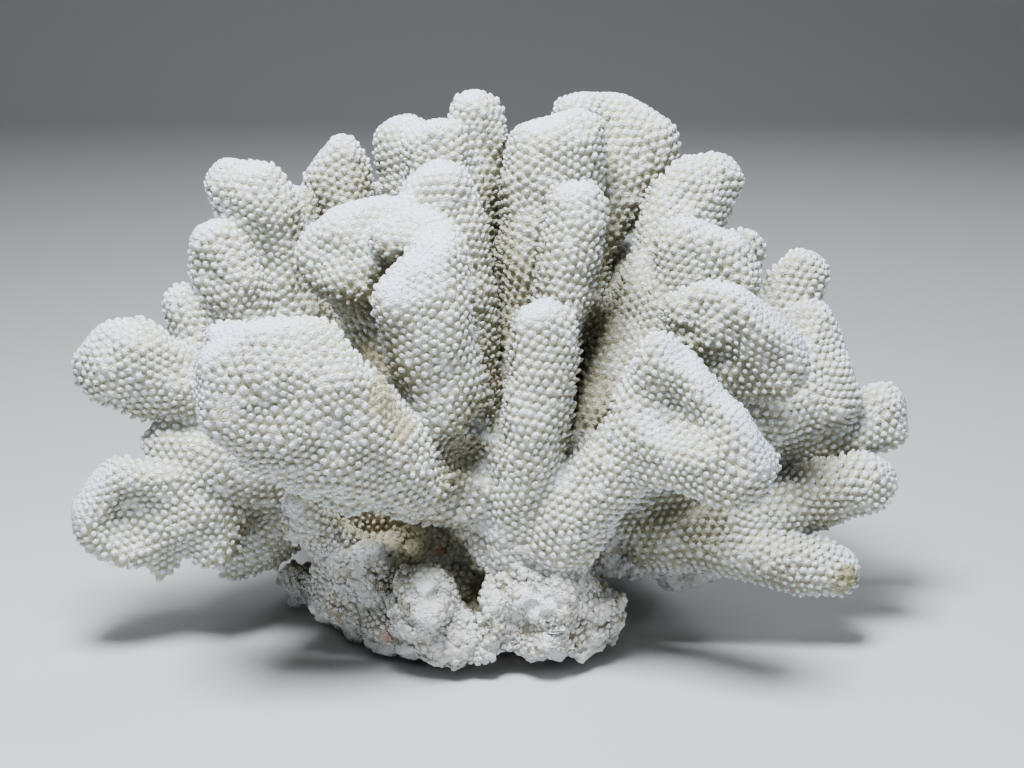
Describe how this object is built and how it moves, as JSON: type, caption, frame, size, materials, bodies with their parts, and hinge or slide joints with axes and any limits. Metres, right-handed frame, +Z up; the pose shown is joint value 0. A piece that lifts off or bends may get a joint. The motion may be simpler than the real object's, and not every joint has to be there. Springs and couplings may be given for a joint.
{
  "type": "cauliflower coral skeleton",
  "caption": "Dead cauliflower coral colony: flattened, knobbly blades and fingers fan out from a short trunk, cut off flat at the foot.",
  "frame": {"origin": "middle of the flat cut at the foot, on the surface that it stands on", "axes": "+Z up, +X to the viewer's right along the longest side, +Y away from the viewer"},
  "size_m": [0.26, 0.1624, 0.1704],
  "materials": {
    "coral_skeleton": "white calcium-carbonate skeleton, matt and chalky, covered with small round verrucae; bluish white on the tips, cream to olive in the hollows",
    "crusted_foot": "dead, eroded foot of the colony: rough chalk white with cream pits, grey-green dirt and a few rust-red crust spots"
  },
  "bodies": {
    "root": {"back_centre_finger": "coral_skeleton", "back_centre_lobes": "coral_skeleton", "back_left_twin": "coral_skeleton", "back_lower_1": "coral_skeleton", "back_lower_2": "coral_skeleton", "back_lower_3": "coral_skeleton", "back_lower_4": "coral_skeleton", "back_middle_1": "coral_skeleton", "back_middle_2": "coral_skeleton", "back_middle_3": "coral_skeleton", "back_middle_4": "coral_skeleton", "back_middle_5": "coral_skeleton", "back_middle_6": "coral_skeleton", "back_upper_1": "coral_skeleton", "back_upper_2": "coral_skeleton", "back_upper_3": "coral_skeleton", "back_upper_4": "coral_skeleton", "back_upper_5": "coral_skeleton", "base": "crusted_foot", "centre_fan": "coral_skeleton", "centre_hook_blade": "coral_skeleton", "centre_left_blade": "coral_skeleton", "centre_tall_blade": "coral_skeleton", "front_finger_lower": "coral_skeleton", "front_finger_upper": "coral_skeleton", "front_left_paddle": "coral_skeleton", "front_right_paddle": "coral_skeleton", "left_blade": "coral_skeleton", "left_limb": "coral_skeleton", "left_lower_dish": "coral_skeleton", "left_small_finger": "coral_skeleton", "left_tall_blade": "coral_skeleton", "left_upper_paddle": "coral_skeleton", "right_back_tip": "coral_skeleton", "right_dish": "coral_skeleton", "right_finger_lowest": "coral_skeleton", "right_finger_middle": "coral_skeleton", "right_finger_upper": "coral_skeleton", "right_front_lobe": "coral_skeleton", "right_limb": "coral_skeleton", "right_side_blade": "coral_skeleton", "right_tall_blade": "coral_skeleton", "right_top_finger": "coral_skeleton", "under_crust": "crusted_foot"}
  },
  "joints": []
}
